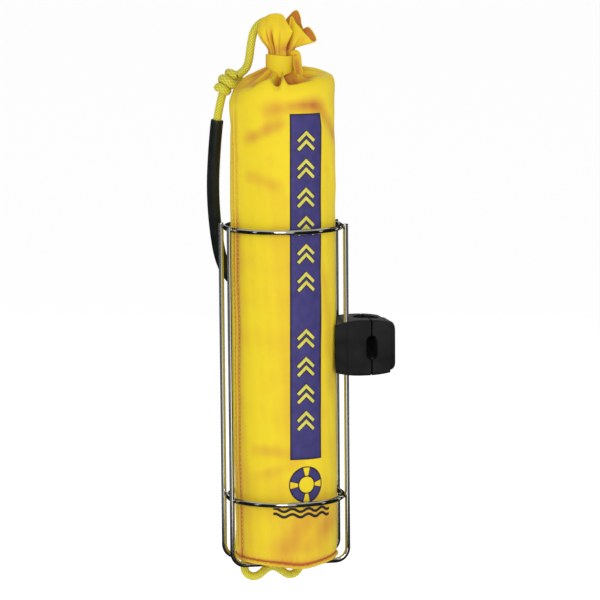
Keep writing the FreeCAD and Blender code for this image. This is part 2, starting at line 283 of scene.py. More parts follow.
def cord_material(name, light, deep_shade):
    """Braided floating line, with painted shade between its strands, so lighter on their crowns."""
    material, tree, shader = new_material(name)
    fibres = noise_node(tree, 900.0, 2.0)
    depth = painted_shade_depth(tree, math_node(tree, "MULTIPLY", fibres, 0.25))
    configure(shader, Base_Color=ramp(tree, depth, 0.1, 1.1, light, deep_shade), Sheen_Weight=0.15,
              Roughness=scuffed(tree, fibres, 0.25, 0.38), Normal=bump(tree, fibres, 0.3, 0.0002))
    return material


def moulded_material(name, colour, roughness, grain, relief, shine):
    """Moulded plastic or rubber with a fine grain and scuffed roughness."""
    material, tree, shader = new_material(name)
    lighter = tuple(min(1.0, c * 1.7 + 0.004) for c in colour)
    configure(shader, Base_Color=ramp(tree, noise_node(tree, 45.0), 0.35, 0.75, colour, lighter),
              Roughness=scuffed(tree, noise_node(tree, 120.0, 4.0), 0.22, roughness - 0.11),
              Specular_IOR_Level=shine, Normal=bump(tree, noise_node(tree, grain, 2.0), relief, 0.0002))
    return material


def metal_material(name, colour, roughness, streaks):
    """Polished or brushed metal with faint drawing marks along Z."""
    material, tree, shader = new_material(name)
    marks = noise_node(tree, streaks, 4.0, (1, 1, 0.06))
    configure(shader, Base_Color=ramp(tree, marks, 0.3, 0.7, tuple(c * 0.82 for c in colour), colour),
              Metallic=1.0, Roughness=scuffed(tree, marks, roughness, roughness * 0.5),
              Normal=bump(tree, marks, 0.04, 0.00005))
    return material


def foam_material():
    """Open cells of a foam float."""
    material, tree, shader = new_material("foam_cells")
    place = add(tree, "ShaderNodeTexCoord").outputs["Object"]
    cells = add(tree, "ShaderNodeTexVoronoi", Vector=place, Scale=700.0).outputs["Distance"]
    configure(shader, Base_Color=ramp(tree, cells, 0.1, 0.6, (0.55, 0.54, 0.5), (0.86, 0.85, 0.8)),
              Roughness=0.9, Normal=bump(tree, cells, 0.6, 0.0004))
    return material


def settle(piece, slot, *materials, stands_for=()):
    """Give a piece its materials; it rides on the bag and stands for CAD nodes."""
    piece.data.materials.clear()
    for material in materials:
        piece.data.materials.append(material)
    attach(piece, "bag")
    if stands_for:
        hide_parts(*stands_for)


# ---------------------------------------------------------------- mesh helpers
def mesh_piece(name, points, faces):
    """Smooth mesh object of these points and faces."""
    mesh = bpy.data.meshes.new(name)
    mesh.from_pydata(points, [], faces)
    mesh.validate()
    mesh.polygons.foreach_set("use_smooth", [True] * len(mesh.polygons))
    return new_object(name, mesh)


def thicken(piece, thickness, offset, inside=0):
    """Give a sheet its thickness, in mm; inside is the material slot of its inner face."""
    solid = piece.modifiers.new("thickness", "SOLIDIFY")
    solid.thickness = thickness * MM
    solid.offset = offset
    solid.material_offset = inside


def round_off(piece, levels):
    soft = piece.modifiers.new("rounding", "SUBSURF")
    soft.levels = soft.render_levels = levels


def set_painted_shade(piece, values):
    """Store the painted shade at each point, for the cloth and cord colours."""
    layer = piece.data.attributes.new("painted_shade", "FLOAT", "POINT")
    layer.data.foreach_set("value", values)


def grid_faces(rows, columns, closed=True):
    """Quads of a grid of points, listed row by row; closed joins the last column to the first."""
    faces = []
    for row in range(rows - 1):
        for column in range(columns if closed else columns - 1):
            right = (column + 1) % columns
            faces.append((row * columns + column, row * columns + right,
                          (row + 1) * columns + right, (row + 1) * columns + column))
    return faces


def route_curve(name, points, detail):
    """Curve object whose one smooth spline has the route's points as its control points."""
    data = bpy.data.curves.new(name, "CURVE")
    data.dimensions = "3D"
    data.resolution_u = detail
    spline = data.splines.new("NURBS")
    spline.points.add(len(points) - 1)
    for target, point in zip(spline.points, points):
        target.co = (*point, 1)
    spline.order_u = 3
    spline.use_endpoint_u = True
    return new_object(name, data)


def read_route(points, detail=24):
    """Points along the smooth line of a route given by its control points."""
    holder = route_curve("route", points, detail)
    data = holder.data
    bpy.context.view_layer.update()
    shaped = holder.evaluated_get(bpy.context.evaluated_depsgraph_get())
    mesh = bpy.data.meshes.new_from_object(shaped)
    line = [vertex.co.copy() for vertex in mesh.vertices]
    bpy.data.meshes.remove(mesh)
    bpy.data.objects.remove(holder)
    bpy.data.curves.remove(data)
    return line


def length_of(line):
    return sum((b - a).length for a, b in zip(line, line[1:]))


def even_steps(line, step):
    """The same line, resampled to even steps."""
    count = max(2, round(length_of(line) / step))
    spacing = length_of(line) / count
    steps = [line[0].copy()]
    walked = 0.0
    for start, end in zip(line, line[1:]):
        run = (end - start).length
        while run > 0 and walked + run >= spacing * len(steps) - 1e-12 and len(steps) < count:
            steps.append(start.lerp(end, (spacing * len(steps) - walked) / run))
        walked += run
    steps.append(line[-1].copy())
    return steps


def frames_along(line):
    """A direction and two steady side directions at each point of a line."""
    frames = []
    side = None
    for index, point in enumerate(line):
        ahead = line[min(index + 1, len(line) - 1)] - line[max(index - 1, 0)]
        ahead.normalize()
        if side is None:
            side = ahead.orthogonal()
        side = (side - ahead * side.dot(ahead)).normalized()
        frames.append((ahead, side, ahead.cross(side)))
    return frames


# ---------------------------------------------------------------- cords
STRANDS = 8                   # strands of the braid in each direction
BRAID_STEP = 3.3 * MM         # spacing of the strands along the line
ROUND_POINTS = 40
TRACE_STEP = 0.65 * MM        # between the rings of a cord's mesh
BRAID_DEPTH = 0.55 * MM


def braid_relief(turn, along):
    """Height from 0 to 1 of a plain braid, at a turn from 0 to 1 and a distance along."""
    right = STRANDS * turn + along / BRAID_STEP
    left = STRANDS * turn - along / BRAID_STEP
    if (math.floor(right) + math.floor(left)) % 2:
        over, under = right, left
    else:
        over, under = left, right
    crown = math.sin(math.pi * (over % 1.0)) ** 0.6
    return crown * (0.78 + 0.22 * math.sin(math.pi * (under % 1.0)))


def braided_cord(name, line, radius):
    """Braided round cord along a line, closed at its ends."""
    line = even_steps(line, TRACE_STEP)
    points, groove_shades = [], []
    walked = 0.0
    for index, (point, (ahead, side, up)) in enumerate(zip(line, frames_along(line))):
        if index:
            walked += (point - line[index - 1]).length
        for k in range(ROUND_POINTS):
            turn = k / ROUND_POINTS
            height = braid_relief(turn, walked)
            reach = radius - BRAID_DEPTH * (1 - height)
            points.append(point + round_at(2 * math.pi * turn, side, up) * reach)
            # Painted shade between the strands; the closed ends get full shade.
            groove_shades.append(1 - height)
    faces = grid_faces(len(line), ROUND_POINTS)
    for ring, point in ((0, line[0]), (len(line) - 1, line[-1])):
        centre = len(points)
        points.append(point)
        groove_shades.append(1.0)
        for k in range(ROUND_POINTS):
            pair = (ring * ROUND_POINTS + k, ring * ROUND_POINTS + (k + 1) % ROUND_POINTS)
            faces.append((*(pair if ring else pair[::-1]), centre))
    cord = mesh_piece(name, points, faces)
    set_painted_shade(cord, groove_shades)
    return cord


LEAD_ROUTE = [(0.0, 0.0, 206.0), (1.5, -1.0, 232.0), (-1.0, 1.0, 262.0), (0.5, 0.5, 284.0),
              (1.0, 3.0, 302.5), (-5.5, 6.0, 311.0), (-16.0, 8.5, 311.0), (-24.5, 9.5, 302.5),
              (-27.5, 10.0, 288.0), (-29.0, 11.0, 273.5), (-32.5, 12.0, 264.0),
              (-40.5, 12.0, 259.5)]
LOOP_ROUTE = [(-54.0, 14.0, 243.5), (-58.5, 16.5, 226.0), (-61.5, 20.5, 191.5),
              (-62.5, 28.0, 152.0), (-59.0, 36.5, 114.0), (-52.0, 45.0, 78.0), (-37.5, 55.0, 57.0),
              (-15.0, 66.5, 48.0), (10.0, 74.5, 53.0), (28.5, 78.0, 71.5), (35.0, 76.5, 98.0),
              (34.0, 73.0, 133.0), (24.0, 68.0, 174.0), (4.0, 62.0, 211.0),
              (-18.0, 53.5, 240.0), (-37.0, 37.0, 258.5), (-47.5, 19.0, 262.0)]
BASE_ROUTE = [(-39.3, 0.5, -196.5), (-39.8, 0.5, -204.0), (-41.1, 0.3, -213.8),
              (-38.1, 0.0, -218.8), (-33.2, -0.5, -221.2), (-27.8, -0.5, -220.7),
              (-22.0, 0.0, -216.2), (-16.5, 0.5, -212.4), (-10.5, 0.5, -212.6),
              (-5.0, 0.0, -216.2), (0.9, 0.0, -220.8), (5.9, -0.3, -221.1), (10.4, 0.0, -218.8),
              (13.0, 0.3, -214.5), (13.2, 0.3, -206.5), (12.6, 0.0, -200.5), (12.4, 0.0, -196.5)]
KNOT_AT = (-50.0, 12.0, 253.0)
KNOT_AXIS = Vector((-0.76, 0.08, -0.645))


def free_cord(name, route, node):
    """Braided cord along a route, with its line's points."""
    line = read_route([at_bag(*point) for point in route])
    cord = braided_cord(name, line, ROPE_R)
    settle(cord, "line", line_material, stands_for=[node])
    return cord, line


WRAPS = 2.3                   # turns of rope in a knot
WRAP_R, WRAP_PITCH = 5.6 * MM, 9.0 * MM


def wrap_line(centre, axis):
    """Helix of rope wrapped round an axis, tucked in at both ends."""
    axis = axis.normalized()
    side = axis.orthogonal().normalized()
    up = axis.cross(side)
    points = []
    for k in range(int(WRAPS * 20) + 1):
        turn = k / 20
        along = (turn - WRAPS / 2) * WRAP_PITCH
        tuck = 1 - 0.75 * (1 - ease(turn, 0.0, 0.4)) - 0.75 * ease(turn, WRAPS - 0.4, WRAPS)
        out = round_at(2 * math.pi * (turn + 0.15), side, up)
        points.append(centre + axis * along + out * WRAP_R * tuck)
    return points


def tied_knot(name, centre, axis, *nodes):
    """Barrel knot: the rope wrapped round its own standing parts."""
    knot = braided_cord(name, wrap_line(centre, axis), ROPE_R * 1.12)
    core = braided_cord(name + "_core", [centre + axis * along * MM for along in (-9.5, -4, 4, 9.5)],
                        ROPE_R * 0.9)
    settle(knot, "line", line_material, stands_for=nodes)
    settle(core, "line", line_material)
    return [knot, core]


def sleeve_tube(line):
    """Thick-walled tube over the part of the loop between the CAD sleeve's two ends."""
    _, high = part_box("grip_sleeve")
    first = next(i for i, p in enumerate(line) if p.z < SLEEVE_TOP)
    last = max(i for i, p in enumerate(line) if p.y > 0.03 and p.z < high.z - 12 * MM)
    run = even_steps(line[first:last + 1], 2.5 * MM)
    inner = ROPE_R + 0.35 * MM
    lip = 0.6 * MM
    sections = frames_along(run)
    around = 32
    end = [(inner, 2.5 * MM), (inner, 0.0), (SLEEVE_R - lip, 0.0), (SLEEVE_R, lip)]
    rings = [(0, radius, shift) for radius, shift in end]
    rings += [(index, SLEEVE_R, 0.0) for index in range(1, len(run) - 1)]
    rings += [(-1, radius, -shift) for radius, shift in end[::-1]]
    points = []
    for index, radius, shift in rings:
        ahead, side, up = sections[index]
        for k in range(around):
            out = round_at(2 * math.pi * k / around, side, up)
            points.append(run[index] + ahead * shift + out * radius)
    tube = mesh_piece("grip_sleeve_tube", points, grid_faces(len(rings), around))
    settle(tube, "black_sleeve", sleeve_material, stands_for=["grip_sleeve"])
    return tube


def coil_points():
    """Line wound in three layers, up, down and up again, then in over the top."""
    low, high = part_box("stowed_line")
    pitch = 8.0 * MM
    inner_r = 24.9 * MM
    layer_gap = 8.2 * MM
    bottom = low.z + ROPE_R
    turns = math.floor((high.z - low.z - 2 * ROPE_R) / pitch)
    per_turn = 16
    points = [(inner_r * ease(k, -3, per_turn // 2), bottom) for k in range(per_turn // 2)]
    for layer in range(3):
        radius = inner_r + layer * layer_gap
        for k in range(turns * per_turn):
            rise = k / per_turn * pitch
            z = bottom + (rise if layer % 2 == 0 else turns * pitch - rise)
            points.append((radius, z))
        if layer < 2:
            points += [(radius + layer_gap * k / 5, z) for k in range(1, 5)]
    points += [(radius * (1 - ease(k, 0, 15)) + 2 * MM, z + ease(k, 0, 5) * 8.6 * MM) for k in range(1, 15)]
    turned = [(r, 2 * math.pi / per_turn * index, z) for index, (r, z) in enumerate(points)]
    return [Vector((AXIS_X + r * math.cos(a), r * math.sin(a), z)) for r, a, z in turned]


def stowed_coil():
    points = coil_points()
    coil = route_curve("stowed_turns", points, 2)
    coil.data.bevel_depth = ROPE_R
    coil.data.bevel_resolution = 2
    coil.data.use_fill_caps = True
    settle(coil, "line", line_material, stands_for=["stowed_line"])
    length_of(read_route(points, 4))


def make_cords():
    """The stowed coil, the lead with its knot, the hand loop with its sleeve, and the base rope."""
    stowed_coil()
    knot = tied_knot("tied_knot", at_bag(*KNOT_AT), KNOT_AXIS, "loop_knot")
    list(free_cord("line_lead_braid", LEAD_ROUTE, "line_lead"))
    loop, loop_line = free_cord("hand_loop_braid", LOOP_ROUTE, "hand_loop")
    sleeve_tube(loop_line)
    base_rope = free_cord("base_rope_braid", BASE_ROUTE, "base_rope")
    knots_low, knots_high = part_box("base_knots")
    knot_z = (knots_low.z + knots_high.z) / 2
    end_knots = []
    for name, x, *node in (("end_knot_outer", knots_low.x + 9.5 * MM, "base_knots"),
                           ("end_knot_inner", knots_high.x - 9.5 * MM)):
        end_knots += tied_knot(name, Vector((x, 0, knot_z)), Vector((0, 0, 1)), *node)


# ---------------------------------------------------------------- bag cloth
# Angles are in degrees round the bag's axis, 0 at the front (-Y) and 90 at +X. Sizes are in mm.
COLUMNS = 300
ANGLES = np.linspace(-180, 180, COLUMNS, endpoint=False)
TURNS = np.radians(ANGLES)
HEM_TOP, HEM_STITCH_Z = -196.0, -200.2
BODY_LOW, BODY_HIGH, ROW_STEP = -190.0, 237.0, 3.1
NECK_LOW, NECK_TOP, NECK_R = 268.0, 285.0, 12.9
MOUTH_STEPS, RIM_R = 22, 0.6
SEAM_AT = -77.0
# Across the side seam: height or depth of painted shade, place in degrees, width.
SEAM_SHAPE = [(0.8, 0.3, 2.0), (-0.7, -3.4, 1.7), (-0.8, 4.6, 2.6)]
SEAM_SHADES = [(0.38, -3.2, 2.6), (0.34, 4.4, 3.2), (0.26, 6.5, 5.5)]
DEGREE = 0.857                # round the cloth
PRINT_R = 49.8                # radius that the print's distances round the bag are measured on
GIRTH = 0.311                 # of the cloth, in metres

# Rows of the hem, inside edge first: place from the side, height, share of the sag, depth of painted shade.
HEM_ROWS = [(-5.0, -200.4, 0.5, 0.9), (-2.6, -201.5, 0.9, 0.7), (-0.6, -202.1, 1.0, 0.45),
            (0.6, -201.6, 1.0, 0.3), (1.1, -200.5, 1.0, 0.15), (0.9, -199.5, 1.0, 0.15),
            (0.2, -198.7, 0.98, 0.35), (-0.8, -198.1, 0.95, 0.62), (-0.9, -197.4, 0.9, 0.6),
            (-0.2, -196.2, 0.75, 0.3), (0.1, -194.0, 0.5, 0.12), (0.0, -192.0, 0.25, 0.06)]

# Soft folds: from angle, height to angle, height, then width, depth (inward is negative) and depth of painted
# shade in the fold.
SOFT_FOLDS = [
    (-30, 230, 34, 236, 9.0, -1.5, 0.19), (30, 236, 70, 200, 8.0, -1.4, 0.15),
    (-56, 203, 0, 222, 8.0, -1.1, 0.20), (-6, 221, 36, 212, 9.0, 0.8, 0.0),
    (-60, 240, -38, 210, 7.0, 0.9, 0.0), (-4, 150, 0, -80, 12.0, -0.5, 0.16),
    (-56, 170, -14, 158, 8.0, -0.7, 0.10), (-48, -90, 10, -98, 8.0, -0.7, 0.12),
    (-40, -114, 8, -104, 7.0, -0.6, 0.08), (-20, -196, 34, -140, 15.0, -0.9, 0.27),
    (6, -192, 58, -158, 14.0, -0.8, 0.27), (44, 80, 60, -40, 8.0, -1.0, 0.08),
    (50, 195, 72, 145, 8.0, 0.9, 0.0), (58, -50, 76, -130, 8.0, 0.8, 0.0),
    (84, 218, 134, 194, 10.0, -1.4, 0.18), (96, 90, 120, 10, 10.0, -0.9, 0.10),
    (98, -116, 146, -160, 11.0, -1.1, 0.16), (126, 230, 170, 206, 8.0, -1.2, 0.18),
    (148, 126, 190, 160, 10.0, -1.0, 0.12), (156, -26, 204, -68, 11.0, -1.0, 0.12),
    (-178, 210, -130, 228, 9.0, -1.3, 0.18), (-164, 56, -116, 96, 11.0, -1.0, 0.12),
    (-144, -136, -98, -176, 10.0, -1.1, 0.16), (-128, 184, -94, 218, 9.0, -1.2, 0.16),
    (-120, 0, -96, -70, 9.0, 0.8, 0.0), (168, -146, 208, -188, 10.0, -1.0, 0.14),
]

# Shoulder shape by angle, from the top of the side to the neck: seven radii, then their heights.
SHOULDER = [
    (-150, (48.4, 46, 41, 34, 26, 19, 14.2), (243, 248, 254, 258.5, 262, 264.5, 266.5)),
    (-112, (48, 45.4, 40.5, 33, 25, 18.5, 14.2), (242, 247.5, 253.5, 258, 261.5, 264.5, 267)),
    (-84, (47.2, 44.8, 40.6, 34.5, 26.5, 19, 14.2), (241.5, 245.8, 251.5, 257.5, 260.5, 264, 267)),
    (-56, (49.2, 47.8, 44, 37, 29, 20, 14.2), (243, 247.2, 249.8, 252, 256.5, 262, 266.5)),
    (-37, (49.8, 48.9, 46, 40, 31, 21, 14.2), (245, 251, 255.4, 256.4, 256.5, 261, 266)),
    (-26, (49.8, 48.9, 46.2, 40.5, 32, 23, 14.4), (245.5, 252.5, 257.2, 258.6, 257.5, 259, 264)),
    (-20, (49.7, 48.4, 45.2, 38, 30, 22, 14.4), (245, 249.8, 252.8, 250.8, 249.5, 252, 262)),
    (-14.5, (49.7, 48.4, 45.2, 38, 30, 22, 14.4), (245, 249.6, 252.6, 250.6, 249.5, 253, 262)),
    (-9.5, (49.8, 48.9, 46, 39, 30, 22, 14.4), (245.5, 252.5, 258.2, 261.4, 262.6, 264, 266)),
    (-3, (49.7, 48.5, 46, 40, 31, 22, 14.4), (245, 250, 253.4, 251.2, 248.6, 250.5, 260)),
    (14, (49.9, 49, 46.6, 41, 31, 22, 14.4), (246, 251.5, 255.2, 254.2, 250.5, 252.5, 261)),
    (38, (50.1, 49.4, 46.4, 40.5, 31, 22, 14.4), (247.5, 254.2, 258.4, 258, 255.5, 258.5, 264)),
    (58, (50.3, 49.9, 47.4, 40.5, 31, 22, 14.2), (249, 255, 259.2, 261.6, 263.6, 264.6, 266.5)),
    (80, (50.2, 49.6, 47, 40, 31, 22, 14.2), (249, 255, 259.5, 262.6, 265, 266.2, 267)),
    (105, (49.6, 48.6, 45, 38, 29, 21, 14.2), (246, 252, 258.5, 262.5, 265.5, 266.8, 267.4)),
    (140, (49, 47.2, 43, 36, 28, 20, 14.2), (244, 250, 256, 261, 264.5, 266.4, 267.4)),
    (176, (48.4, 46.4, 41.8, 35, 27, 19.5, 14.2), (243, 248.5, 254.8, 259, 261.5, 264.5, 266.8)),
]

# Mouth by angle: the point that a pleat heads for above the strap, then its end on the rim.
MOUTH = [
    (-180, (0, 13, 293), (-2, 15, 301)), (-150, (-8, 12.5, 293), (-12, 14.5, 300.5)),
    (-122, (-14, 9.5, 292), (-19.5, 12.8, 299.5)), (-104, (-22, 6, 295), (-21, 5, 304)),
    (-88, (-28, 0.5, 299), (-19.5, 1.5, 311)), (-66, (-26, -9, 299), (-15, -4, 316)),
    (-42, (-16, -17, 299), (-8, -9, 318.2)), (-16, (-5, -21, 300), (-0.6, -12, 316.5)),
    (0, (1, -20, 297), (3, -14.5, 309.5)), (12, (5, -18, 294), (7.8, -16, 301.5)),
    (22, (4, -10, 293), (6.5, -10, 304.5)), (31, (5.5, -6, 296), (10.0, -2.5, 314.6)),
    (43, (10, -11, 295), (13.1, -6, 308.2)), (55, (14, -12, 292), (17.9, -8.5, 302.8)),
    (67, (15.5, -11, 289.5), (22.0, -10, 297.0)), (79, (16, -9, 287.2), (28.0, -10.5, 290.8)),
    (92, (18, -2, 287.5), (33.8, 1.5, 292.0)), (106, (17, 4, 291), (28.6, 7.5, 303.4)),
    (118, (13, 7.5, 292), (23.0, 9, 301.5)), (130, (12, 9, 294), (21.0, 7, 306.5)),
    (142, (10, 10, 296), (20.2, 6.8, 313)), (152, (8, 11, 298), (15.7, 7, 320.4)),
    (163, (5, 12, 296), (8, 10.5, 312.5)), (172, (2.5, 12.8, 294), (2.5, 13.5, 305)),
]

# Deep pleats of the gathered neck: angle, half width and depth.
PLEATS = [(24, 11, 5.4), (-45, 5, 3.4), (-56, 3, 1.8), (-78, 5, 1.6), (-20, 3.5, 0.8), (58, 4, 1.2),
          (96, 5, 3.0), (124, 4.5, 2.6), (150, 4, 2.2), (178, 5, 3.0), (-150, 5, 2.4), (-124, 4.5, 2.6),
          (-100, 4, 1.8)]


def neck_pleats(share):
    """Depth of the gathers at each column, for a share of their full depth."""
    return share * sum(depth * bell(ANGLES, angle, width) for angle, width, depth in PLEATS)


def apart(angles, centre):
    """How far angles lie from a centre, from -180 to 180."""
    return (angles - centre + 180) % 360 - 180


def ridge(values, centre, width):
    return np.exp(-((values - centre) / width) ** 2)


def bell(angles, centre, width):
    """Bell curve over angles, 1 at its centre."""
    return ridge(apart(angles, centre), 0, width)


def smooth_step(values, low, high):
    t = np.clip((values - low) / (high - low), 0, 1)
    return t * t * (3 - 2 * t)


def unit_rows(rows, least=1e-9):
    """Rows scaled to length 1; shorter ones than least stay shorter."""
    return rows / np.maximum(np.linalg.norm(rows, axis=-1), least)[..., None]


def seam_line(heights):
    """Angle of the side seam at heights."""
    return SEAM_AT + 0.9 * np.sin(heights * 0.021) + 0.4 * np.sin(heights * 0.067)


def round_spline(keys, values, at):
    """Smooth closed curve through values given at angles, read at other angles."""
    keys = np.array(keys, float)
    values = np.array(values, float).reshape(len(keys), -1)
    order = np.argsort(keys)
    keys, values = keys[order], values[order]
    keys = np.concatenate([keys[-2:] - 360, keys, keys[:2] + 360])
    values = np.concatenate([values[-2:], values, values[:2]])
    slopes = np.zeros_like(values)
    slopes[1:-1] = (values[2:] - values[:-2]) / (keys[2:] - keys[:-2])[:, None]
    spot = np.clip(np.searchsorted(keys, at, side="right") - 1, 1, len(keys) - 3)
    gap = (keys[spot + 1] - keys[spot])[:, None]
    t = (at - keys[spot])[:, None] / gap
    return ((2 * t**3 - 3 * t**2 + 1) * values[spot] + (t**3 - 2 * t**2 + t) * gap * slopes[spot]
            + (3 * t**2 - 2 * t**3) * values[spot + 1] + (t**3 - t**2) * gap * slopes[spot + 1])


def chain_spline(rows, steps):
    """Smooth curve through a list of rows, each a (columns, 3) array, with steps between two rows."""
    rows = [2 * rows[0] - rows[1], *rows, 2 * rows[-1] - rows[-2]]
    made = []
    for a, b, c, d in zip(rows, rows[1:], rows[2:], rows[3:]):
        for k in range(steps):
            t = k / steps
            made.append(0.5 * (2 * b + (c - a) * t + (2 * a - 5 * b + 4 * c - d) * t**2
                               + (3 * b - a - 3 * c + d) * t**3))
    made.append(rows[-2])
    return made


def waves(angles, heights, around, upright, shift):
    """Slow waves over the cloth, closed round the bag."""
    turn = np.radians(angles)
    return np.sin(around * turn + heights * upright + shift) * np.cos(
        (around - 1) * turn - heights * upright * 0.7 + 2.1 * shift)


def skin(angles, heights):
    """Radius and painted shade, with a mottled tone, of the bag's side at angles and heights."""
    angles, heights = np.broadcast_arrays(np.asarray(angles, float), np.asarray(heights, float))
    radius = 48.7 + 1.1 * smooth_step(heights, -200, 190)
    for size, around, upright, shift in ((0.45, 3, 0.021, 0.4), (0.28, 6, 0.047, 1.9), (0.12, 13, 0.11, 3.3)):
        radius = radius + size * waves(angles, heights, around, upright, shift)
    # A slow mottled tone, darker towards the bottom.
    tint = np.clip(0.07 + 0.10 * waves(angles, heights, 4, 0.017, 5.2), 0, 1)
    tint = tint + 0.07 * (1 - smooth_step(heights, -190, 60))
    radius = radius - 0.9 * bell(angles, 90, 25) * np.exp(-(heights / 35) ** 2)   # clear of the nuts
    fold_shade = np.zeros(radius.shape)
    for a1, h1, a2, h2, width, depth, colour in SOFT_FOLDS:
        run = np.array([(a2 - a1) * DEGREE, h2 - h1])
        off = apart(angles, a1) * DEGREE
        length = np.hypot(*run)
        along = (off * run[0] + (heights - h1) * run[1]) / length
        aside = (off * run[1] - (heights - h1) * run[0]) / length
        bend = 0.12 * length * (along / length - 0.5) ** 2
        ends = smooth_step(along, -0.25 * length, 0.2 * length) * (
            1 - smooth_step(along, 0.8 * length, 1.25 * length))
        shape = ridge(aside, bend, width) * ends
        radius = radius + depth * shape
        # Painted shade in the fold, weaker away from the front.
        colour = colour if abs(a1) < 75 and abs(a2) < 80 else 0.45 * colour
        fold_shade = np.maximum(fold_shade, colour * shape)
    tint = tint + fold_shade
    lower = 1 - 0.65 * smooth_step(heights, 108, 150)
    off = apart(angles, seam_line(heights))
    radius = radius + lower * sum(size * ridge(off, place, width) for size, place, width in SEAM_SHAPE)
    tint = tint + lower * sum(depth * ridge(off, place, width) for depth, place, width in SEAM_SHADES)
    return radius, tint


def ring_row(angles, radii, heights):
    """Row of points at angles, radii and heights, in mm from the bag's axis."""
    turn = np.radians(angles)
    return np.stack([radii * np.sin(turn), -radii * np.cos(turn),
                     np.broadcast_to(heights, angles.shape).astype(float)], axis=1)


def hem_sag(angles):
    """How far the hem hangs below the base, clear of the wires under it."""
    turn = np.radians(angles)
    drape = 0.35 * np.sin(5 * turn + 1) + 0.25 * np.sin(9 * turn)
    over_wire = 0.45 * bell(angles, 62, 12)
    return 3.9 * bell(angles, 8, 36) + 0.8 * bell(angles, 178, 24) + drape * bell(angles, 0, 42) - over_wire


def cloth_rows():
    """Rows of the cloth from the hem's inside edge up to the rim, and each row's painted shade."""
    rows, tints = [], []
    sag = hem_sag(ANGLES)
    pucker = 0.25 * np.sin(TURNS * 41) + 0.2 * np.sin(TURNS * 67 + 1)
    base_r, _ = skin(ANGLES, HEM_TOP)
    for offset, height, share, colour in HEM_ROWS:
        rows.append(ring_row(ANGLES, base_r + offset + 0.5 * pucker, height - share * sag + pucker * 0.5))
        _, low_tint = skin(ANGLES, height)
        # Painted shade in the hem's groove and puckers.
        tints.append(colour + low_tint + 0.1 * pucker)
    for height in np.arange(BODY_LOW, BODY_HIGH + 0.1, ROW_STEP):
        radius, tint = skin(ANGLES, height)
        rows.append(ring_row(ANGLES, radius, height))
        tints.append(tint)

    keys = [key for key, _, _ in SHOULDER]
    ripple = np.sin(TURNS * 11 + 0.7) + 0.6 * np.sin(TURNS * 19 + 2.0)
    bands = []
    for level, weight in enumerate((0.0, 0.15, 0.5, 0.9, 1.3, 1.3, 0.7)):
        shape = round_spline(keys, [(radii[level], heights[level]) for _, radii, heights in SHOULDER], ANGLES)
        shape[:, 1] += weight * ripple * (1 - 0.6 * bell(ANGLES, -5, 30))
        bands.append(ring_row(ANGLES, shape[:, 0], shape[:, 1]))
    neck = ring_row(ANGLES, NECK_R - neck_pleats(0.35), NECK_LOW)
    shoulder = chain_spline([*rows[-2:], *bands, neck], 5)[6:-1]
    for row in shoulder:
        reach = np.hypot(row[:, 0], row[:, 1])
        inner = smooth_step(-reach, -46.5, -42.0)
        _, low_tint = skin(ANGLES, row[:, 2])
        shade = (0.16 + 0.34 * bell(ANGLES, -84, 36) + 0.30 * bell(ANGLES, 12, 26)
                 + 0.1 * bell(ANGLES, 100, 40))
        rows.append(row)
        tints.append(low_tint * (1 - inner) + shade * inner)
    for height in np.linspace(NECK_LOW, NECK_TOP - 2.0, 8):
        share = 0.35 + 0.4 * ease(height, NECK_LOW, NECK_TOP)
        rows.append(ring_row(ANGLES, NECK_R - 0.3 * ease(height, NECK_LOW, 284) - neck_pleats(share), height))
        # Painted shade in the gathered neck, deeper in its pleats.
        tints.append(0.24 + 0.15 * neck_pleats(share))

    start = ring_row(ANGLES, np.full(COLUMNS, 12.5), NECK_TOP)
    keys = [key for key, _, _ in MOUTH]
    control, rim = (round_spline(keys, [row[place] for row in MOUTH], ANGLES) for place in (1, 2))
    for k in range(MOUTH_STEPS + 1):
        t = k / MOUTH_STEPS
        row = (1 - t) ** 2 * start + 2 * t * (1 - t) * control + t * t * rim
        share = 0.75 + 0.45 * ease(t, 0, 0.25) - 1.2 * ease(t, 0.25, 0.85)
        pull = neck_pleats(share)[:, None]
        inward = unit_rows(row * (-1, -1, 0), 4.0)
        flutter = 0.5 * t * np.sin(TURNS * 14 + 6 * t)
        row = row + inward * (pull + flutter[:, None] * 0.6)
        rows.append(row)
        # Painted shade in the mouth's pleats and crease, with a slow tone.
        painted_shade = 0.70 * bell(ANGLES, 21, 13) * (1 - ease(t, 0.3, 0.75))
        tints.append(0.22 + 0.15 * neck_pleats(share) + 0.08 * waves(ANGLES, 300 + 30 * t, 5, 0.2, 1.0)
                     + 0.16 * bell(ANGLES, -95, 22) * t + painted_shade)
    joint = len(rows) - MOUTH_STEPS - 1
    for _ in range(4):                                    # ease the neck into the mouth
        for index in range(joint - 4, joint + 5):
            rows[index] = 0.5 * rows[index] + 0.25 * (rows[index - 1] + rows[index + 1])
    edge = rows[-1]
    ahead = unit_rows(edge - rows[-2])
    out = unit_rows(np.cross(np.roll(rim, -1, axis=0) - np.roll(rim, 1, axis=0), ahead))
    for turn in np.radians([50, 100, 150, 200, 250]):     # the rim, rolled outward
        rows.append(edge + RIM_R * (math.sin(turn) * ahead + (math.cos(turn) - 1) * out))
        tints.append(np.zeros(COLUMNS))
    return np.stack(rows), np.stack(tints)


def grid_normals(rows):
    """Outward normals of a closed grid of points."""
    around = np.roll(rows, -1, axis=1) - np.roll(rows, 1, axis=1)
    return unit_rows(np.cross(around, np.gradient(rows, axis=0)))


def hollow_depth(rows, spread):
    """How far each point lies in a hollow of the cloth, in mm."""
    soft = rows.copy()
    for _ in range(spread):
        soft = 0.5 * soft + 0.25 * (np.roll(soft, 1, axis=1) + np.roll(soft, -1, axis=1))
        soft[1:-1] = 0.5 * soft[1:-1] + 0.25 * (soft[2:] + soft[:-2])
    return np.einsum("ijk,ijk->ij", soft - rows, grid_normals(rows))


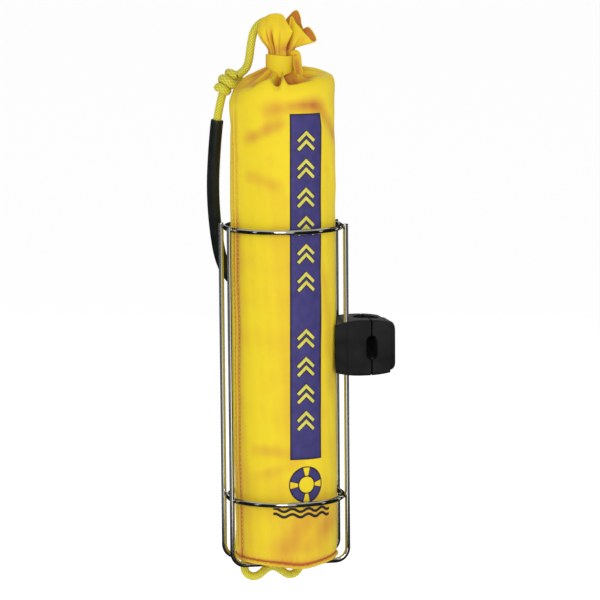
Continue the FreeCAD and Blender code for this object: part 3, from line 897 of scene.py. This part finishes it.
def bag_cloth():
    """The bag's one piece of cloth, from its hem to its mouth."""
    rows, tints = cloth_rows()
    hollow = hollow_depth(rows, 14)
    # Painted shade in the cloth's hollows.
    tints = tints + np.clip(hollow * 0.6, -0.15, 0.7)
    points = in_metres(rows.reshape(-1, 3))
    cloth = mesh_piece("bag_cloth", points.tolist(), grid_faces(len(rows), COLUMNS))
    set_painted_shade(cloth, np.clip(tints, 0, 1.3).ravel())
    climb = np.concatenate([[0], np.cumsum(np.linalg.norm(np.diff(rows, axis=0), axis=2).mean(axis=1))])
    weave_uv(cloth, lambda index: ((index % COLUMNS) / COLUMNS * GIRTH, climb[index // COLUMNS] * MM), GIRTH)
    thicken(cloth, 0.7, -1, inside=1)
    settle(cloth, "bag_fabric", cloth_material, inside_shade_material, stands_for=["bag_shell", "bag_collar"])


def weave_uv(piece, place, wrap=0.0):
    """UV map in metres of cloth; wrap keeps the last column from running back across the map."""
    layer = piece.data.uv_layers.new(name="weave")
    values = []
    for face in piece.data.polygons:
        spots = [place(index) for index in face.vertices]
        first = spots[0][0]
        for u, v in spots:
            if wrap and u - first < -wrap / 2:
                u += wrap
            elif wrap and u - first > wrap / 2:
                u -= wrap
            values.extend((u, v))
    layer.data.foreach_set("uv", values)


# ---------------------------------------------------------------- print on the front
def on_skin(around, height, lift):
    """Points on the bag's side from distances round it, 0 at the front, and heights, in mm."""
    angles = np.degrees(np.asarray(around, float) / PRINT_R)
    radius, _ = skin(angles, height)
    return in_metres(ring_row(angles, radius + lift, height))


def printed_stroke(path, width, lift, closed=False, step=1.3):
    """Points and faces of a stroke of print along a flat path of (around, height) points."""
    path = [np.array(p, float) for p in path]
    if closed:
        path.append(path[0])
    spots = []
    for a, b in zip(path, path[1:]):
        count = max(1, round(np.linalg.norm(b - a) / step))
        for k in range(count):
            spots.append(a + (b - a) * k / count)
    if not closed:
        spots.append(path[-1])
    spots = np.array(spots)
    ahead = np.roll(spots, -1, axis=0) - spots
    behind = spots - np.roll(spots, 1, axis=0)
    if not closed:
        ahead[-1], behind[0] = behind[-1], ahead[0]
    ahead = unit_rows(ahead)
    middle = unit_rows(ahead + unit_rows(behind))
    stretch = 1 / np.maximum(0.5, np.einsum("ij,ij->i", middle, ahead))
    aside = np.stack([-middle[:, 1], middle[:, 0]], axis=1) * stretch[:, None]
    across = max(2, round(width / step)) + 1
    grid = [spots + aside * width * (k / (across - 1) - 0.5) for k in range(across)]
    points = np.concatenate([on_skin(row[:, 0], row[:, 1], lift) for row in grid])
    return points, grid_faces(across, len(spots), closed)


def printed(name, strokes, material, *nodes):
    """One printed piece made of several strokes."""
    points, faces = [], []
    for made, sides in strokes:
        faces.extend(tuple(index + len(points) for index in side) for side in sides)
        points.extend(made.tolist())
    piece = mesh_piece(name, points, faces)
    weave_uv(piece, lambda index: (points[index][0], points[index][2]))
    thicken(piece, 0.15, 0)
    settle(piece, "stripe_print", material, stands_for=nodes)


MARK_HEIGHTS = [201.8, 175.6, 148.6, 122.0, 95.6, 69.2, 15.2, -11.4, -37.4, -63.0]
CHEVRON = [(-8.2, 0.6, -3.4), (0, 0.3, 4.4), (8.2, 0.2, -3.4)]    # its corners: aside, shadow's shift, up
BUOY_X, BUOY_Z, BUOY_R = 11.0, -125.0, 12.6


def front_print():
    """The stripe, its row of plain chevrons, and a ring-buoy sign over two waves."""
    left, right = (math.asin((x - AXIS_X) / BAG_R) * PRINT_R for x in (stripe_low.x, stripe_high.x))
    low, high = stripe_low.z / MM, stripe_high.z / MM
    middle = (left + right) / 2
    spine = [(middle - 0.007 * (high - z) + 0.6, z) for z in np.linspace(low, high, 8)]
    edge = [(spine[0][0], low - 0.9), *spine[1:-1], (spine[-1][0], high + 0.9)]
    printed("stripe_edge", [printed_stroke(edge, right - left + 0.6, 0.18, step=2.6)], dark_print)
    printed("stripe_band", [printed_stroke(spine, right - left - 1.4, 0.34, step=2.6)], stripe_material,
            "front_stripe")
    marks, shadows = [], []
    for height in MARK_HEIGHTS:
        around = middle - 0.2 - 0.008 * (high - height)
        for rise in (2.4, -5.6):
            for strokes, drop, width, lift in ((shadows, 0.45, 4.3, 0.48), (marks, 0.0, 3.0, 0.62)):
                bent = [(around + aside - drop * shift, height + rise + up - drop * 0.4)
                        for aside, shift, up in CHEVRON]
                strokes.append(printed_stroke(bent, width, lift, step=1.1))
    printed("chevron_edges", shadows, dark_print)
    printed("chevrons", marks, mark_material)

    def buoy_arc(radius, degrees):
        return [(BUOY_X + radius * math.cos(t), BUOY_Z + radius * math.sin(t)) for t in np.radians(degrees)]

    arcs, borders = [], []
    for middle in range(45, 360, 90):
        for strokes, half, width, lift in ((arcs, 31, 7.2, 0.34), (borders, 33.5, 8.8, 0.2)):
            degrees = np.linspace(middle - half, middle + half, 14)
            strokes.append(printed_stroke(buoy_arc(BUOY_R, degrees), width, lift))
    for rim in (BUOY_R - 4.4, BUOY_R + 4.4):
        borders.append(printed_stroke(buoy_arc(rim, np.arange(0, 360, 8)), 0.9, 0.22, closed=True))
    printed("buoy_edge", borders, dark_print)
    printed("buoy_ring", arcs, stripe_material)
    wave_lines = []
    for drop in (0.0, 5.2):
        line = [(x, -149.2 - drop - 0.03 * x + 1.5 * math.sin((x + 24) * 2 * math.pi / 16.5))
                for x in np.linspace(-22, 41, 64)]
        wave_lines.append(printed_stroke(line, 2.5, 0.25))
    printed("wave_lines", wave_lines, dark_print)


# ---------------------------------------------------------------- sewing, strap, base and foam
STITCH, STITCH_GAP, THREAD_R = 2.9 * MM, 1.3 * MM, 0.33 * MM
# Places along a stitch and their rise off the cloth, in stitch lengths and thread radii.
STITCH_SHAPE = [(-0.5, -0.8), (-0.42, 0.3), (-0.2, 0.85), (0.2, 0.85), (0.42, 0.3), (0.5, -0.8)]


def stitches(name, row, *nodes):
    """Thread stitches that stand off the cloth along a row of points."""
    steps = even_steps([Vector(p) for p in in_metres(row).tolist()], (STITCH + STITCH_GAP) / 2)
    points, faces = [], []
    for start, end in zip(steps[:-2:2], steps[1:-1:2]):
        middle = (start + end) / 2
        ahead = (end - start).normalized()
        out = Vector((middle.x - AXIS_X, middle.y, 0)).normalized()
        side = ahead.cross(out).normalized()
        first = len(points)
        for along, rise in STITCH_SHAPE:
            thick = THREAD_R * (0.45 if abs(along) > 0.45 else 1.0)
            centre = middle + ahead * along * STITCH + out * rise * THREAD_R
            points += [centre + round_at(k * math.pi / 3, side, out) * thick for k in range(6)]
        faces.extend(tuple(first + i for i in face) for face in grid_faces(len(STITCH_SHAPE), 6))
        faces.append(tuple(first + k for k in range(5, -1, -1)))
        faces.append(tuple(first + 30 + k for k in range(6)))
    settle(mesh_piece(name, points, faces), "bag_fabric", thread_material, stands_for=nodes)


def sewing():
    """Stitches round the hem and down both sides of the side seam."""
    radius, _ = skin(ANGLES, HEM_TOP)
    hem = ring_row(ANGLES, radius + 1.1, HEM_STITCH_Z - hem_sag(ANGLES))
    stitches("hem_stitches", np.vstack([hem, hem[:1]]), "base_hem")
    heights = np.arange(-188.0, 226.0, 6.0)
    for name, shift in (("seam_stitches_a", -5.6), ("seam_stitches_b", 6.4)):
        angles = seam_line(heights) + shift
        radius, _ = skin(angles, heights)
        stitches(name, ring_row(angles, radius + 0.1, heights))


STRAP_R, STRAP_LOW, STRAP_HIGH = 13.6, 266.0, 279.3               # its inside radius and its edges
STRAP_COLUMNS = 120
# Section of the strap: how far it stands out, and the share of its height.
STRAP_SECTION = [(0.0, 0.5), (-0.7, 0.97), (-0.2, 1.0), (0.9, 1.0), (1.35, 0.96), (1.25, 0.85), (1.5, 0.65),
                 (1.35, 0.45), (1.6, 0.25), (1.4, 0.1), (1.6, 0.03), (1.0, 0.0), (0.0, 0.0), (-0.3, 0.05)]
# Middle line of the strap's tail.
TAIL_ROUTE = [(7.6, -12.2, 278.6), (10.4, -12.2, 281.6), (12.4, -11.8, 280.6), (12.4, -12.6, 273.0),
              (13.0, -14.6, 266.0), (13.6, -16.4, 259.4)]


def neck_strap():
    """Cloth strap round the neck, drawn down to a point in front."""
    angles = np.linspace(-180, 180, STRAP_COLUMNS, endpoint=False)
    turn = np.radians(angles)
    top = STRAP_HIGH + 0.9 * bell(angles, -75, 40) - 0.9 * bell(angles, 10, 35)
    low = (STRAP_LOW - 7.5 * bell(angles, -17, 24) - 3.5 * bell(angles, 22, 20)
           + 1.2 * bell(angles, 120, 60) + 1.0 * bell(angles, -110, 40))
    outward = 0.5 * np.sin(turn * 5 + 1) + 0.3 * np.sin(turn * 9)
    rows = []
    for out, share in STRAP_SECTION:
        drape = 2.2 * bell(angles, -17, 26) * (1 - share) ** 2
        rows.append(ring_row(angles, STRAP_R + out + 0.3 * outward * (1 - share) + drape,
                             low + (top - low) * share))
    count = len(rows)
    faces = grid_faces(count, STRAP_COLUMNS)
    for k in range(STRAP_COLUMNS):
        right = (k + 1) % STRAP_COLUMNS
        faces.append(((count - 1) * STRAP_COLUMNS + k, (count - 1) * STRAP_COLUMNS + right, right, k))
    band = mesh_piece("neck_band", in_metres(np.concatenate(rows)).tolist(), faces)
    # Painted shade round the back of the strap and under its tail.
    tint = np.clip(0.5 * np.abs(np.sin(np.radians(angles - 40) / 2)) ** 6 + 0.35 * bell(angles, 40, 25), 0, 1)
    set_painted_shade(band, np.tile(tint, count))
    finish_strap(band, "neck_strap")


def strap_tail():
    """Folded strip that hangs beside the front, hollow down its middle."""
    points, depth = [], []
    line = even_steps(read_route([at_bag(*p) for p in TAIL_ROUTE], 10), 0.9 * MM)
    out = Vector((0.28, -0.96, 0)).normalized()
    across = 13
    for index, (place, (ahead, _, _)) in enumerate(zip(line, frames_along(line))):
        share = index / (len(line) - 1)
        side = ahead.cross(out).normalized()
        round_end = math.sqrt(max(0.06, 1 - max(0.0, (share - 0.84) / 0.16) ** 2))
        half = 4.3 * MM * round_end * (0.5 + 0.5 * ease(share, 0.0, 0.4))
        for k in range(across):
            u = 2 * k / (across - 1) - 1
            hollow = (1 - u * u) ** 1.5
            lift = 0.9 * abs(u) ** 2.5 - 1.3 * hollow * (0.4 + 0.6 * ease(share, 0.1, 0.5))
            points.append(place + side * u * half + out * lift * MM)
            # Painted shade down the tail's hollow and towards one edge.
            depth.append(0.1 + 0.6 * hollow * ease(share, 0.2, 0.6) + 0.25 * ease(u, 0.4, 1.0))
    tail = mesh_piece("strap_tail", points, grid_faces(len(line), across, closed=False))
    set_painted_shade(tail, depth)
    thicken(tail, 1.1, -1)
    finish_strap(tail)


def finish_strap(piece, *nodes):
    spots = [vertex.co for vertex in piece.data.vertices]
    weave_uv(piece, lambda index: (spots[index].x + spots[index].y, spots[index].z))
    round_off(piece, 1)
    settle(piece, "strap_webbing", cloth_material, stands_for=nodes)


def turned_piece(name, outline, around, dip=None):
    """Closed piece turned round the bag's axis from an outline of (radius, height) in mm."""
    angles = np.linspace(0, 360, around, endpoint=False)
    rows = np.stack([ring_row(angles, np.full(around, float(r)), z) for r, z in outline])
    if dip is not None:
        rows[:, :, 2] += dip(rows[:, :, 0], rows[:, :, 1])
    return mesh_piece(name, in_metres(rows.reshape(-1, 3)).tolist(), grid_faces(len(outline), around))


PANEL_R, PANEL_Z = 45.6, -200.6
EYELET_R, HOLE_R = 6.9, 5.2   # an eyelet's outside, and the hole in the cloth under it


def base_panel():
    """Round panel sewn into the hem, slack between the wires, with a hole at each eyelet."""
    low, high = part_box("base_eyelets")
    centres = [(low.x - AXIS_X) / MM + EYELET_R, (high.x - AXIS_X) / MM - EYELET_R]
    outline = [(r, PANEL_Z) for r in np.linspace(PANEL_R, 0.2, 44)]

    def dip(x, y):
        radius = np.hypot(x, y)
        turn = np.arctan2(y, x)
        return (0.5 * np.cos(x * 0.11) * (1 - (radius / 46) ** 2)
                + 0.35 * np.sin(turn * 23) * smooth_step(radius, 30, 45))

    panel = turned_piece("base_panel_cloth", outline, 150, dip)
    shape = bmesh.new()
    shape.from_mesh(panel.data)
    holes = []
    for face in shape.faces:
        spot = face.calc_center_median()
        if any(math.hypot((spot.x - AXIS_X) / MM - x, spot.y / MM) < HOLE_R for x in centres):
            holes.append(face)
    bmesh.ops.delete(shape, geom=holes, context="FACES")
    shape.to_mesh(panel.data)
    shape.free()
    spots = [vertex.co for vertex in panel.data.vertices]
    weave_uv(panel, lambda index: (spots[index].x, spots[index].y))
    # Painted shade towards the panel's rim, under the hem.
    set_painted_shade(panel, [0.2 + 0.5 * ease(math.hypot(p.x - AXIS_X, p.y), 0.04, 0.046) for p in spots])
    thicken(panel, 0.8, 1)
    settle(panel, "bag_fabric", cloth_material, inside_shade_material, stands_for=["bag_base"])


def foam_block():
    """Foam float under the coil, crowned and rounded at its edges."""
    low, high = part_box("foam_disc")
    radius, bottom, top = (high.x - low.x) / 2 / MM, low.z / MM, high.z / MM
    outline = [(0.2, bottom + 1), (radius * 0.5, bottom + 0.4), (radius - 5, bottom),
               (radius - 1.5, bottom + 1.4), (radius - 0.2, bottom + 5), (radius - 1.0, (bottom + top) / 2),
               (radius - 0.2, top - 5), (radius - 1.5, top - 1.4), (radius - 5, top),
               (radius * 0.5, top - 0.5), (0.2, top - 1)]
    block = turned_piece("foam_float", outline, 72)
    round_off(block, 2)
    settle(block, "foam", foam_cells, stands_for=["foam_disc"])


def finish_hardware():
    """Metal and moulded finishes on the parts kept from the model."""
    for names, material in (
            (("front_wire", "rear_wire", "top_ring", "lower_ring"), wire_metal),
            (("wire_keeper", "clamp_saddle", "clamp_jaw", "jaw_cap"), clamp_nylon),
            (("clamp_nuts", "clamp_bolts", "clamp_washers"), bolt_steel),
            (("base_eyelets",), eyelet_brass)):
        for name in names:
            for slot in nodes[name].material_slots:
                slot.material = material


# ---------------------------------------------------------------- the whole object
line_material = cord_material("floating_line", (0.76, 0.72, 0.03), (0.36, 0.27, 0.01))
# Golden and deep orange are painted shade in the cloth's creases and hollows.
YELLOW, GOLDEN_SHADE, DEEP_ORANGE_SHADE = (0.80, 0.61, 0.014), (0.66, 0.35, 0.025), (0.46, 0.12, 0.025)
cloth_material = fabric_material("coated_nylon", YELLOW, GOLDEN_SHADE, DEEP_ORANGE_SHADE)
# Inside face: painted shade, a deeper orange than the outside.
inside_shade_material = fabric_material("coated_nylon_inside_shade", (0.60, 0.22, 0.03), (0.5, 0.14, 0.025),
                                  (0.35, 0.07, 0.02))
stripe_material = print_material("stripe_purple", (0.042, 0.034, 0.176))
mark_material = print_material("mark_yellow", (0.66, 0.60, 0.09))
dark_print = print_material("print_outline", (0.022, 0.020, 0.030))
thread_material = cord_material("sewing_thread", (0.80, 0.56, 0.03), (0.45, 0.24, 0.02))
foam_cells = foam_material()
sleeve_material = moulded_material("black_sleeve", (0.005, 0.007, 0.007), 0.42, 500.0, 0.15, shine=0.32)
clamp_nylon = moulded_material("black_nylon", (0.007, 0.007, 0.008), 0.5, 900.0, 0.35, shine=0.16)
wire_metal = metal_material("polished_wire", (0.66, 0.67, 0.64), 0.10, 60.0)
bolt_steel = metal_material("fastener_steel", (0.62, 0.62, 0.60), 0.25, 200.0)
eyelet_brass = metal_material("eyelet_metal", (0.55, 0.53, 0.5), 0.3, 150.0)

make_camera()
make_stage()
make_cords()
bag_cloth()
base_panel()
foam_block()
neck_strap()
strap_tail()
front_print()
sewing()
finish_hardware()
